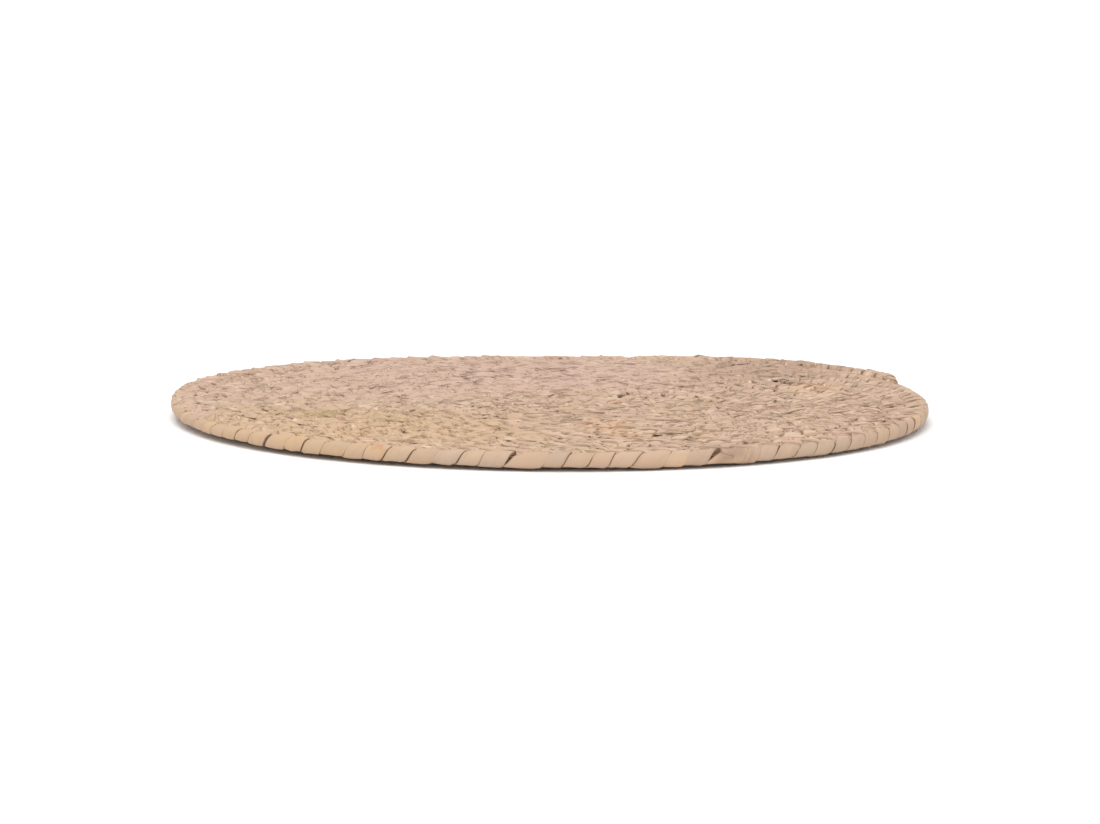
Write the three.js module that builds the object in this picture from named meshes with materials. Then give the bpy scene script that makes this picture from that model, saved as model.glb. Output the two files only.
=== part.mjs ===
// A round seagrass placemat: one flat three-strand plait, coiled on itself from the middle outwards and
// sewn edge to edge. The mat is one piece, so it is one closed solid: a spiral of rows with a groove
// between them, a rim scalloped by the strands that turn over it, and an underside that lies flat.
// Millimetres, +Z up. The origin is under the middle of the mat, on the surface that it lies on.

import * as THREE from "three";

const { degToRad, euclideanModulo, smoothstep } = THREE.MathUtils;
const TWO_PI = 2 * Math.PI;

// Driving dimensions

const MAT_RADIUS = 190; // from the eye of the coil to the edge, where the last turn is widest
const ROW_WIDTH = 11; // width of the plait, which is also the pitch of the turns
const THICKNESS = 7; // height of the plait over its crown
const GROOVE_DEPTH = 1.9; // how far the sewn groove between two turns lies below the crown
const LOBE_PITCH = 10.8; // length of rim that one strand covers before the next one turns over it
const LOBE_DEPTH = 1.2; // how far the rim draws in between two strands
const TAIL_ANGLE = degToRad(15.5); // where the plait ends, counterclockwise from +X
const TAIL_LENGTH = 30; // length over which the end of the plait thins out against the turn inside it
const TAIL_TUCK = 2.2; // how far the tip of the tail is pulled in under the edge of that turn
const EYE_TURN = 0.55; // turns that the tight knot in the middle takes up before the rows start
const FLAT_RADIUS = 90; // inside this radius the mat lies flat on its surface

// Lift of the rim over the surface every 45 degrees, counterclockwise from +X: a used mat curls up a
// little, most of all at its left and right ends.
const RIM_LIFT = [3.9, 4.8, 0.2, 2.8, 4.4, 2.6, 1.8, 1.6];
const LIFT_GROWTH = 1.6; // power by which the lift grows from the flat middle to the rim

// The lines along a row: the groove at its inner edge and the two edges of its flat crown, which lie
// across the row at a share of its width. firstStep is the step after the eye at which a line starts,
// because the plait starts with a slanted end.
const GROOVE = { firstStep: 8 };
const INNER_CROWN = { across: 0.3, firstStep: 5 };
const OUTER_CROWN = { across: 0.7, firstStep: 2 };

// Levels of the rim, from the top down: how far each is drawn in from the edge, its height as a share
// of the thickness, and how far the strands have moved along the rim there, as a share of a lobe.
const RIM_LEVELS = [
  { drawnIn: 0.9, height: 0.78, slant: -0.28 },
  { drawnIn: 0, height: 0.5, slant: 0 },
  { drawnIn: 0.8, height: 0.2, slant: 0.28 },
  { drawnIn: 2.6, height: 0, slant: 0.4 },
];

// How finely the surface is divided: steps in one turn near the eye and farther out, steps in one lobe
// of the rim, and the rings of the underside, of which the last bounds the flat middle.
const STEPS_NEAR_EYE = 44;
const TURNS_NEAR_EYE = 6;
const STEPS_FARTHER_OUT = 72;
const STEPS_PER_LOBE = 3;
const UNDERSIDE_RINGS = [
  { radius: 140, steps: 96 },
  { radius: FLAT_RADIUS, steps: 48 },
];

// Sizes that follow

const LAST_TURN = MAT_RADIUS / ROW_WIDTH - 1; // where the tail ends, counted along the inner edge
const RIM_LENGTH = TWO_PI * (MAT_RADIUS - ROW_WIDTH / 2);
const LOBES = Math.round(RIM_LENGTH / LOBE_PITCH);
const TAIL_TURNS = TAIL_LENGTH / RIM_LENGTH;

// The coil runs clockwise as it grows, seen from above, and its last turn ends at the tail.
function angleAt(turn) {
  return TAIL_ANGLE - TWO_PI * (turn - LAST_TURN);
}

// How far the plait has thinned out: 0 along the coil, growing to 1 at the tip of the tail.
function tailShare(turn) {
  return smoothstep(turn, LAST_TURN - TAIL_TURNS, LAST_TURN);
}

// The radius of the groove along the inner edge of a row.
function grooveRadius(turn) {
  return ROW_WIDTH * turn - TAIL_TUCK * tailShare(turn);
}

// The radius of the outer edge of the last row.
function edgeRadius(turn) {
  return ROW_WIDTH * (turn + 1 - tailShare(turn));
}

// The lift of the rim at an angle, on a smooth curve through the values of RIM_LIFT.
function rimLift(angle) {
  const place = euclideanModulo(angle / TWO_PI, 1) * RIM_LIFT.length;
  const before = Math.floor(place);
  const along = place - before;
  const lift = (step) => RIM_LIFT[euclideanModulo(before + step, RIM_LIFT.length)];
  const slopeBefore = (lift(1) - lift(-1)) / 2;
  const slopeAfter = (lift(2) - lift(0)) / 2;
  const rise = lift(1) - lift(0);
  const squared = 3 * rise - 2 * slopeBefore - slopeAfter;
  const cubed = slopeBefore + slopeAfter - 2 * rise;
  return lift(0) + along * (slopeBefore + along * (squared + along * cubed));
}

// How far the mat has left the surface: nothing over the flat middle, growing towards the rim.
function liftAt(radius, angle) {
  const reach = Math.max(0, (radius - FLAT_RADIUS) / (MAT_RADIUS - FLAT_RADIUS));
  return rimLift(angle) * reach ** LIFT_GROWTH;
}

// Slow rises and dips of the crowns along the rows, because no plait is quite even.
function unevenness(radius, angle) {
  return 0.25 * Math.sin(3 * angle + radius / 9) + 0.2 * Math.sin(5 * angle - radius / 17 + 1.3);
}

const positions = [];
const triangles = [];

// Adds a vertex by its place along the coil, its radius and its height over the underside.
function vertex(turn, radius, height) {
  const angle = angleAt(turn);
  const x = radius * Math.cos(angle);
  const y = radius * Math.sin(angle);
  positions.push(x, y, height + liftAt(radius, angle));
  return { turn, index: positions.length / 3 - 1 };
}

function triangle(a, b, c) {
  triangles.push(a.index, b.index, c.index);
}

// Fills the strip between two lines of vertices, always stepping along the line that lags behind.
function fillBetween(inner, outer) {
  let i = 0;
  let j = 0;
  while (i < inner.length - 1 || j < outer.length - 1) {
    const innerNext = inner[i + 1]?.turn ?? Infinity;
    const outerNext = outer[j + 1]?.turn ?? Infinity;
    if (innerNext <= outerNext) {
      triangle(inner[i], inner[i + 1], outer[j]);
      i += 1;
    } else {
      triangle(inner[i], outer[j + 1], outer[j]);
      j += 1;
    }
  }
}

// The place along the coil of a step after the eye. The steps of all turns line up along spokes.
function turnOfStep(step) {
  const farther = step - TURNS_NEAR_EYE * STEPS_NEAR_EYE;
  if (farther < 0) return EYE_TURN + step / STEPS_NEAR_EYE;
  return EYE_TURN + TURNS_NEAR_EYE + farther / STEPS_FARTHER_OUT;
}

// Places along the coil from a step to a turn, close enough together to keep the rows round.
function placesAlong(firstStep, to) {
  const places = [];
  const shortestStep = 0.3 / STEPS_FARTHER_OUT;
  for (let step = firstStep; turnOfStep(step) < to - shortestStep; step += 1) {
    places.push(turnOfStep(step));
  }
  return [...places, to];
}

// Places along the last turn that follow the strands, each with how deep the gap between two strands is
// there. The strands lie straight up at both ends of the turn, where the tail meets the turn inside it.
function lobePlaces(slant) {
  const steps = LOBES * STEPS_PER_LOBE;
  return Array.from({ length: steps + 1 }, (_, step) => {
    const clearOfTail = Math.min(1, Math.min(step, steps - step) / (2 * STEPS_PER_LOBE));
    const turn = LAST_TURN - 1 + (step / STEPS_PER_LOBE + slant * clearOfTail) / LOBES;
    return { turn, gap: step % STEPS_PER_LOBE === 0 ? LOBE_DEPTH * clearOfTail : 0 };
  });
}

// The groove at the inner edge of each row, which is also the outer edge of the row one turn before.
function grooveLine() {
  return placesAlong(GROOVE.firstStep, LAST_TURN).map((turn) => {
    return vertex(turn, grooveRadius(turn), THICKNESS - GROOVE_DEPTH);
  });
}

// A vertex on the crown of a row, at a share of its width, sunk where two strands part.
function crownVertex(turn, across, gap) {
  const groove = grooveRadius(turn);
  const radius = groove + across * (edgeRadius(turn) - groove) - gap / 2;
  const height = THICKNESS - GROOVE_DEPTH * tailShare(turn) - gap;
  return vertex(turn, radius, height + unevenness(radius, angleAt(turn)));
}

// A plain line along the crown, from the start of the plait to a turn.
function crownLine({ across, firstStep }, to) {
  return placesAlong(firstStep, to).map((turn) => crownVertex(turn, across, 0));
}

// One level of the rim, all round and closed on its first vertex.
function rimRing({ drawnIn, height, slant }) {
  const ring = lobePlaces(slant).slice(0, -1).map(({ turn, gap }) => {
    return vertex(turn, edgeRadius(turn) - drawnIn - gap, THICKNESS * height);
  });
  return closed(ring);
}

// A ring of the underside, closed on its first vertex.
function undersideRing({ radius, steps }) {
  const ring = Array.from({ length: steps }, (_, step) => {
    return vertex(LAST_TURN - 1 + step / steps, radius, 0);
  });
  return closed(ring);
}

function closed(ring) {
  return [...ring, { ...ring[0], turn: LAST_TURN }];
}

// Fills the flat middle of the underside: one large triangle, and smaller ones out to the ring.
function fillFlatMiddle(ring) {
  const fillOutTo = (from, to) => {
    if (to - from < 2) return;
    const middle = Math.ceil((from + to) / 2);
    triangle(ring[from], ring[middle], ring[to]);
    fillOutTo(from, middle);
    fillOutTo(middle, to);
  };
  const third = (ring.length - 1) / 3;
  triangle(ring[0], ring[third], ring[2 * third]);
  [0, 1, 2].forEach((part) => fillOutTo(part * third, (part + 1) * third));
}

// Fills the eye of the coil: a fan round its middle, out to the first turn and the start of the plait.
function fillEye(firstTurn, startOfPlait) {
  const middle = vertex(EYE_TURN, 0, THICKNESS - GROOVE_DEPTH / 2);
  const edge = [...firstTurn, ...startOfPlait, firstTurn[0]];
  edge.slice(1).forEach((next, step) => triangle(middle, next, edge[step]));
}

// The whole skin of the mat, from the eye over the rows and round the rim to the underside.
function buildMat() {
  const groove = grooveLine();
  const tip = groove.at(-1);
  const innerCrown = [...crownLine(INNER_CROWN, LAST_TURN).slice(0, -1), tip];
  const outerCrown = crownLine(OUTER_CROWN, LAST_TURN - 1);
  const meetsTail = outerCrown.at(-1);
  const scalloped = lobePlaces(RIM_LEVELS[0].slant).slice(1, -1).map(({ turn, gap }) => {
    return crownVertex(turn, OUTER_CROWN.across, gap);
  });
  const lastCrown = [meetsTail, ...scalloped, tip];
  const seam = STEPS_NEAR_EYE - GROOVE.firstStep;
  const nextGroove = groove.slice(seam).map((v) => ({ ...v, turn: v.turn - 1 }));

  fillEye(groove.slice(0, seam + 1), [outerCrown[0], innerCrown[0]]);
  fillBetween(groove, innerCrown);
  fillBetween(innerCrown, [...outerCrown, ...lastCrown.slice(1)]);
  fillBetween(outerCrown, nextGroove);

  const rings = [...RIM_LEVELS.map(rimRing), ...UNDERSIDE_RINGS.map(undersideRing)];
  fillBetween(lastCrown, rings[0]);
  triangle(meetsTail, rings[0][0], tip);
  rings.slice(1).forEach((ring, above) => fillBetween(rings[above], ring));
  fillFlatMiddle(rings.at(-1));

  const geometry = new THREE.BufferGeometry();
  geometry.setAttribute("position", new THREE.Float32BufferAttribute(positions, 3));
  geometry.setIndex(triangles);
  geometry.computeBoundingBox();
  const { min, max } = geometry.boundingBox;
  geometry.translate(-(min.x + max.x) / 2, -(min.y + max.y) / 2, -min.z);
  geometry.computeVertexNormals();
  return geometry;
}

const seagrass = new THREE.MeshStandardMaterial({
  name: "dried_seagrass",
  color: 0xc9a986,
  roughness: 0.85,
  metalness: 0,
});

const placemat = new THREE.Group();
placemat.name = "seagrass_placemat";

const mat = new THREE.Mesh(buildMat(), seagrass);
mat.name = "plaited_mat";
placemat.add(mat);

export default placemat;
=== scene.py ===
# %% [markdown]
# A round placemat plaited from dried seagrass
#
# The real mat is one long flat plait of three strands, about ten metres of it. It is coiled on itself
# from the middle outwards, and each turn is sewn to the turn inside it. Every strand is a little bundle
# of dried leaves, pressed flat, that runs from edge to edge of the plait and turns over at each edge.
#
# This lesson works out the coil first, then the plait that lies along it, then the finish of the leaf,
# and last the loose leaf ends that stick out of it. It starts with the camera, so that every later step
# can be compared with the photograph.

# %% [markdown]
# They give the real size and the place of the mat, and the pieces made here are laid into that
# frame.

# %% Tools and frame
import math
from types import SimpleNamespace

import bpy
import numpy as np
from mathutils import Matrix, Vector


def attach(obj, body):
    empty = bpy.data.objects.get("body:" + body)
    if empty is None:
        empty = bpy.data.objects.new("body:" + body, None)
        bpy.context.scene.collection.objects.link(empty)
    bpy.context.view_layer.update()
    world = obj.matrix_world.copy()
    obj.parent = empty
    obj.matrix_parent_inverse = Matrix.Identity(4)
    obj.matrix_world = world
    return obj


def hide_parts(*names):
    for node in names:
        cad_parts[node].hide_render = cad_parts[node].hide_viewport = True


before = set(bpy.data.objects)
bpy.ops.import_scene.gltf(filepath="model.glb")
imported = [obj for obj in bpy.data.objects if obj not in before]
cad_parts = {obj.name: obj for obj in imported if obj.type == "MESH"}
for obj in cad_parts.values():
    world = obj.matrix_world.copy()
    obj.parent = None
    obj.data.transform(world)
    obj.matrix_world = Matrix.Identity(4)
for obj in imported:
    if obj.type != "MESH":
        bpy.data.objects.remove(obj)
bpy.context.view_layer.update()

# %% [markdown]
# The sizes that drive everything, in metres. On the real mat one row of the plait is 11 mm wide and
# about 7 mm thick, and the mat is 37 cm across. Seventeen rows lie between the eye and the rim.

# %% Driving sizes
MM = 0.001
MAT_RADIUS = 190 * MM  # from the eye to the rim, where the last turn is widest
ROW_WIDTH = 11 * MM
THICKNESS = 7 * MM
LOBE_PITCH = 10.6 * MM  # length of rim from one strand turning over it to the next
TAIL_ANGLE = math.radians(15.5)  # where the plait ends, counterclockwise from +X
TAIL_LENGTH = 30 * MM  # length over which the plait narrows to its tip
TAIL_TUCK = 2.2 * MM  # the tip's middle lies half of this inside the edge of the turn next to it
FLAT_RADIUS = 90 * MM  # inside this radius the mat lies flat
RIM_LIFT = np.array([3.9, 4.8, 0.2, 2.8, 4.4, 2.6, 1.8, 1.6]) * MM  # every 45 degrees from +X
LIFT_GROWTH = 1.6  # the larger, the nearer to the rim the mat starts to lift
EYE = Vector((2.75 * MM, -2.74 * MM, 0))  # the eye of the coil in the frame

LAST_ROW = MAT_RADIUS / ROW_WIDTH - 0.5  # rows from the eye to the middle of the last one
FIRST_ROW = 0.1  # where the plait starts, close round the eye
print("rows from the eye to the middle of the last one:", round(LAST_ROW, 2))

# %% [markdown]
# The photograph was taken from far away with a long lens, only about 8 degrees above the table. A low
# and distant camera is what makes the disc look like a flat lens shape, so it comes first.
#
# The numbers were found by laying the outline of the mat over the photograph. The camera stands on -Y,
# looks along +Y, and is tilted to one side by 0.4 of a degree.

# %% Camera
CAMERA_DISTANCE = 1.33
CAMERA_ELEVATION = math.radians(7.71)
CAMERA_ROLL = math.radians(0.4)
PICTURE_WIDTH = 1100
FOCAL_PIXELS = 2739
EYE_IN_PICTURE = (5.1, -2.1)  # how far the eye lies right of and above the picture's centre, in pixels


def make_camera():
    """Camera that looks at the eye of the coil, moved sideways until the eye is where the photo has it."""
    data = bpy.data.cameras.new("camera")
    data.sensor_width = 36
    data.lens = FOCAL_PIXELS / PICTURE_WIDTH * data.sensor_width
    data.clip_start = 0.05
    camera = bpy.data.objects.new("camera", data)
    bpy.context.scene.collection.objects.link(camera)
    back = Vector((0, -math.cos(CAMERA_ELEVATION), math.sin(CAMERA_ELEVATION)))
    right = Vector((1, 0, 0))
    up = back.cross(right)
    size_of_pixel = CAMERA_DISTANCE / FOCAL_PIXELS
    aside = right * EYE_IN_PICTURE[0] + up * EYE_IN_PICTURE[1]
    camera.location = EYE + back * CAMERA_DISTANCE - aside * size_of_pixel
    turned = Matrix((right, up, back)).transposed() @ Matrix.Rotation(CAMERA_ROLL, 3, "Z")
    camera.rotation_euler = turned.to_euler()
    bpy.context.scene.camera = camera
    return camera


camera = make_camera()
print("lens in mm:", round(camera.data.lens, 1))

# %% [markdown]
# Two helpers turn arrays into Blender meshes. The first makes the object from its points and faces. The
# second stores one number per point, such as how far along the strand it lies, for the material to read.

# %% Meshes from arrays


def mesh_object(name, points, faces, material):
    """A smooth-shaded mesh object at the origin, made from an array of points and a list of faces."""
    mesh = bpy.data.meshes.new(name)
    mesh.from_pydata(points.tolist(), [], faces)
    mesh.shade_smooth()
    mesh.materials.append(material)
    made = bpy.data.objects.new(name, mesh)
    bpy.context.scene.collection.objects.link(made)
    return made


def point_attribute(made, name, values):
    """Stores one number per point under a name that the material can read."""
    attribute = made.data.attributes.new(name, "FLOAT", "POINT")
    attribute.data.foreach_set("value", values.ravel().astype(np.float32))


# %% [markdown]
# The photograph is a cut-out on white, lit softly from all round, with a little more light from above
# and in front. A pale floor that curves up behind the mat gives the same calm ground. It isn't part of
# the mat.

# %% Light and floor
FLOOR_HALF_WIDTH = 3.0
FLOOR_REACH = 1.6  # how far the floor runs to the front, and to the back before it bends up
COVE_RADIUS = 0.7
COVE_STEPS = 16
WALL_TOP = 2.2
ROOM_LIGHT = 0.97  # brightness of the white room round the mat


def plain_material(name, colour, roughness):
    """A single matte colour."""
    material = bpy.data.materials.new(name)
    material.use_nodes = True
    shader = material.node_tree.nodes["Principled BSDF"]
    shader.inputs["Base Color"].default_value = (*colour, 1)
    shader.inputs["Roughness"].default_value = roughness
    return material


def make_floor():
    """A flat floor that bends up in a quarter circle at the back and ends in a wall."""
    bend = np.linspace(0, math.pi / 2, COVE_STEPS)
    behind = [FLOOR_REACH + COVE_RADIUS]
    along_y = np.concatenate([[-FLOOR_REACH], FLOOR_REACH + COVE_RADIUS * np.sin(bend), behind])
    height = np.concatenate([[0], COVE_RADIUS * (1 - np.cos(bend)), [WALL_TOP]])
    sides = (-FLOOR_HALF_WIDTH, FLOOR_HALF_WIDTH)
    points = np.array([(x, y, z) for y, z in zip(along_y, height) for x in sides])
    faces = [(2 * i, 2 * i + 1, 2 * i + 3, 2 * i + 2) for i in range(len(along_y) - 1)]
    floor = mesh_object("floor", points, faces, plain_material("pale_paper", (0.93, 0.93, 0.93), 0.9))
    return floor


def soft_light(name, place, size, power):
    """A square white softbox that faces the mat."""
    data = bpy.data.lights.new(name, "AREA")
    data.shape = "SQUARE"
    data.size = size
    data.energy = power
    light = bpy.data.objects.new(name, data)
    light.location = place
    light.rotation_euler = Vector(place).to_track_quat("Z", "Y").to_euler()
    bpy.context.scene.collection.objects.link(light)


def light_room(brightness):
    """White light from all round, and colours shown as they are."""
    world = bpy.data.worlds.new("studio")
    world.use_nodes = True
    world.node_tree.nodes["Background"].inputs["Color"].default_value = (1, 1, 1, 1)
    world.node_tree.nodes["Background"].inputs["Strength"].default_value = brightness
    bpy.context.scene.world = world
    bpy.context.scene.view_settings.view_transform = "Standard"


floor = make_floor()
soft_light("upper_softbox", (-0.3, -0.7, 1.9), 1.5, 20)
soft_light("front_fill", (0.4, -2.3, 0.8), 1.6, 8)
light_room(ROOM_LIGHT)
print("floor with", len(floor.data.polygons), "faces, and", len(bpy.data.lights), "softboxes")

# %% [markdown]
# The line that the middle of the plait follows is a spiral. Its distance from the eye grows by one row
# width with each turn. The length along such a spiral grows with the square of the row number, so
# a length can be turned into a row number with a square root.

# %% The coil


def row_at(length):
    """Row number after a length of plait: the root of (length / (pi * row width) + first row squared)."""
    return np.sqrt(length / (math.pi * ROW_WIDTH) + FIRST_ROW**2)


def length_at(row):
    """Length of plait up to a row number: pi * row width * (row squared - first row squared)."""
    return math.pi * ROW_WIDTH * (np.square(row) - FIRST_ROW**2)


def angle_at(row):
    """Angle round the eye, which falls by one whole turn for each row, to the tail's angle at the end."""
    return TAIL_ANGLE - 2 * math.pi * (row - LAST_ROW)


PLAIT_LENGTH = float(length_at(LAST_ROW))
print("length of plait in m:", round(PLAIT_LENGTH, 2))

# %% [markdown]
# A used mat never lies quite flat. Its rim curls up by a few millimetres, more in some places than in
# others, and the mat here has the same lift as the CAD part. In two places the rim looks pressed
# thinner, so the last row loses part of its thickness there.

# %% Lift and thickness
# Where the rim is pressed thinner: angle and width in degrees, and the share of its thickness it loses.
RIM_PRESSED = ((-42, 30, 0.45), (-155, 34, 0.3))
PRESSED_RADII = (MAT_RADIUS - 17 * MM, MAT_RADIUS - 4 * MM)  # where the pressing starts and is full


def smooth_step(x, low, high):
    """0 below low, 1 above high, and 3t^2 - 2t^3 between them."""
    t = np.clip((x - low) / (high - low), 0, 1)
    return t * t * (3 - 2 * t)


def rim_lift(angle):
    """Lift of the rim at an angle: a smooth periodic curve through the eight values of RIM_LIFT."""
    place = np.mod(angle / (2 * math.pi), 1) * len(RIM_LIFT)
    before = np.floor(place).astype(int)
    t = place - before
    a, b, c, d = (RIM_LIFT[(before + step) % len(RIM_LIFT)] for step in (-1, 0, 1, 2))
    slope_b, slope_c, rise = (c - a) / 2, (d - b) / 2, c - b
    return b + t * (slope_b + t * (3 * rise - 2 * slope_b - slope_c + t * (slope_b + slope_c - 2 * rise)))


def lift_at(radius, angle):
    """Nothing over the flat middle, then the rim's lift times the share of the way to it, to a power."""
    reach = np.clip((radius - FLAT_RADIUS) / (MAT_RADIUS - FLAT_RADIUS), 0, None)
    return rim_lift(angle) * reach**LIFT_GROWTH


def height_in_mat(radius, angle, height):
    """Height over the table of a place with a height over the plait's middle.

    It is the lift plus (half the thickness + height) * (1 - pressed). Pressed grows to its full share
    towards the rim, and falls off as cos^2 to both sides along the rim.
    """
    pressed = 0 * angle
    for degrees, width, share in RIM_PRESSED:
        away = np.abs(np.mod(angle - math.radians(degrees) + math.pi, 2 * math.pi) - math.pi)
        along_rim = np.cos(np.clip(away / math.radians(width), 0, 1) * math.pi / 2) ** 2
        pressed = pressed + share * along_rim
    pressed = pressed * smooth_step(radius, *PRESSED_RADII)
    return lift_at(radius, angle) + (THICKNESS / 2 + height) * (1 - pressed)


rim_heights = height_in_mat(MAT_RADIUS, np.radians(np.arange(0, 360, 45)), THICKNESS / 2)
print("height of the rim every 45 degrees in mm:", np.round(rim_heights / MM, 1))

# %% [markdown]
# Nothing in a handmade plait is quite even. This helper gives a curve that wanders slowly up and down
# along the plait, from random knots at even distances with smooth passages between them. The same
# seed gives the same curve every time, so the mat looks the same in every render.

# %% Unevenness
SPARE_KNOTS = 4  # knots beyond the two ends of the plait


def wander(length, spacing, size, generator):
    """Smooth random curve over a length: random knots of the usual size every spacing, smoothly joined."""
    knots = generator.normal(0, size, int(PLAIT_LENGTH / spacing) + SPARE_KNOTS)
    place = length / spacing + 1
    before = np.floor(place).astype(int)
    t = smooth_step(place - before, 0, 1)
    return knots[before] * (1 - t) + knots[before + 1] * t


sample = wander(np.array([0.1, 0.2, 0.3]), 50 * MM, 1.0, np.random.default_rng(17))
print("three values of a curve that wanders:", np.round(sample, 2))

# %% [markdown]
# In seven places the plait gapes, and one looks down between the strands. Such a place is made in three
# ways. The strands are narrower there, the leaves inside the plait lie deeper, and painted shade makes
# the material darker, because the real holes are deeper than these and lie in shade.

# %% Gaps
# Places where the plait gapes: distance from the eye, angle in degrees, how wide it gapes, and reach.
GAPS = (
    (137 * MM, 29.7, 1.4, 10 * MM),
    (160 * MM, -8.0, 0.9, 7 * MM),
    (139.5 * MM, 4.4, 0.8, 6 * MM),
    (168 * MM, -24.0, 0.8, 6 * MM),
    (123 * MM, -66.0, 1.0, 7 * MM),
    (143 * MM, -65.6, 0.8, 6 * MM),
    (42 * MM, 38.7, 0.9, 7 * MM),
)


def spot(radius, degrees):
    """Place from the eye of the coil: radius * cos and radius * sin of the angle."""
    return radius * math.cos(math.radians(degrees)), radius * math.sin(math.radians(degrees))


def gaping(radius, angle):
    """How far the plait gapes at a place: the largest of width * exp(-(distance / reach)^2)."""
    x, y = radius * np.cos(angle), radius * np.sin(angle)
    most = 0 * x
    for gap_radius, degrees, width, reach in GAPS:
        gap_x, gap_y = spot(gap_radius, degrees)
        most = np.maximum(most, width * np.exp(-np.square(np.hypot(x - gap_x, y - gap_y) / reach)))
    return most


print("places that gape:", len(GAPS))

# %% [markdown]
# The plait. In a plait of three, each strand swings from edge to edge like a sine curve, and rises and
# dips twice in the same time. So it passes over its neighbour on its way out, turns over the edge,
# passes under, comes up again on the other half and turns over the other edge. The three strands do
# the same, one third of a swing apart.
#
# Seen across the plait, every strand follows the same curve, a flattened figure of eight. Its normal
# says which way the flat strand faces: up while it is on top, outwards at the edge where it folds over,
# and down while it is below.

# %% The figure of eight
SWING_LENGTH = 3 * LOBE_PITCH  # plait length in which a strand comes back to the same edge
SIDE_SWING = 4.9 * MM  # how far the middle of a strand goes to each side
RIM_SWING = 4.1 * MM  # the same towards the rim in the last row, which has no neighbour to press into
RISE = 2.1 * MM  # how far the middle of a strand rises and dips
SIDE_SQUARENESS = 0.6  # the larger, the longer a strand stays at an edge
RISE_SQUARENESS = 1.5  # the larger, the flatter the top and the steeper the way down over the edge


def squared(wave, squareness):
    """Flattens the tops of a wave between -1 and 1: tanh(k * wave) / tanh(k), with k the squareness."""
    return np.tanh(squareness * wave) / math.tanh(squareness)


def figure_of_eight(phase):
    """Place on the curve, one unit to each side: squared sin(phase) sideways, squared sin(2 phase) up."""
    return squared(np.sin(phase), SIDE_SQUARENESS), squared(np.sin(2 * phase), RISE_SQUARENESS)


print("times that a strand turns over each edge:", round(PLAIT_LENGTH / SWING_LENGTH))

# %% [markdown]
# The plait isn't equally wide from end to end. It starts a little narrower at the eye, and its tail is
# tapered and tucked in against the turn before it. One function gives the width at any length, and
# another lays a place in the straight plait into the coil.

# %% From the straight plait into the coil
START_WIDTH = 0.7  # share of its width that the plait has at the eye
START_LENGTH = 12 * MM  # length of plait in which it reaches its full width
TIP_TAPER = 0.72  # share of its width that the plait has lost at its tip


def tail_share(length):
    """0 along the coil, growing to 1 at the tip of the tail."""
    return smooth_step(length, PLAIT_LENGTH - TAIL_LENGTH, PLAIT_LENGTH)


def plait_width_share(length):
    """Share of its full width that the plait has: a little less at the eye, and little at the tail."""
    start = START_WIDTH + (1 - START_WIDTH) * smooth_step(length, 0, START_LENGTH)
    return start * (1 - TIP_TAPER * tail_share(length))


def middle_of_plait(row, length):
    """Distance of the plait's middle from the eye: row width * row, less as the tail is tucked in."""
    return ROW_WIDTH * row - (TAIL_TUCK + ROW_WIDTH) / 2 * tail_share(length)


def lay_in_coil(length, sideways, height):
    """Turns a place in the straight plait into a place in the coil: length along it, sideways and height."""
    row = row_at(np.maximum(length, 0))
    angle = angle_at(row)
    radius = middle_of_plait(row, length) + sideways
    place = [radius * np.cos(angle), radius * np.sin(angle), height_in_mat(radius, angle, height)]
    return np.stack(place, -1)


plait_ends = lay_in_coil(np.array([0, PLAIT_LENGTH]), 0, 0)
print("distance of the plait's two ends from the eye in mm:", np.round(np.hypot(*plait_ends.T[:2]) / MM, 1))

# %% [markdown]
# No strand keeps to the formula exactly. The whole plait is worked tighter in one place and looser in
# the next, and each strand runs a little ahead or behind, swings wider, rises higher or lies loose.
# Each of these is one wandering curve.
#
# Two rows differ from the others. In the first one the strands crowd round the eye, so they swing less
# towards it. In the last one they have no neighbour outside, so they swing less towards the rim, and
# they keep closer to the formula, because the photograph shows an even row of lobes there.

# %% The path of a strand
# How a strand strays: distance between the knots of the wandering curve, and its usual size, which is
# in radians for a phase or a tilt, in metres for a height, and a share for all the others.
STRAYS = {
    "phase of the plait": (17 * MM, 0.3),
    "phase": (26 * MM, 0.15),
    "quicker phase": (13 * MM, 0.08),
    "swing": (19 * MM, 0.03),
    "rise": (23 * MM, 0.07),
    "height": (9 * MM, 0.14 * MM),
    "pinch": (9 * MM, 1.0),
    "width": (21 * MM, 0.06),
    "thickness": (18 * MM, 0.08),
    "ridge": (30 * MM, 1.0),
    "tilt": (11 * MM, 0.05),
}
PLAIT_SEED = 50  # the three strands share one curve for the phase of the plait, and so its seed
HURRY = 0.18  # how much quicker a strand goes round the edge than through the middle
PHASE_STEP = 0.01  # a small step along the figure of eight, which shows where the curve is heading
EYE_ROWS = (FIRST_ROW, 0.55)  # rows over which the crowding round the eye ends
EYE_CROWDING = 0.85  # share of its swing towards the eye that a strand loses there
STEADY_ROWS = (LAST_ROW - 1.15, LAST_ROW - 1.0)  # rows over which the strands become steadier
STEADIED = 0.6  # share by which a strand's own phase strays less in the last row
RIM_ROWS = (LAST_ROW - 1, LAST_ROW - 0.95)  # rows over which the last one begins
EDGE_SINES = (0.25, 0.75)  # sine of the phase where the middle of the plait ends and its edge begins
LEAST_HEIGHT = 0.6  # share of its rise and thickness that a strand keeps however narrow the plait is


def unit(vectors):
    """Vectors of length 1 in the same directions."""
    return vectors / np.linalg.norm(vectors, axis=1)[:, None]


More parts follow.
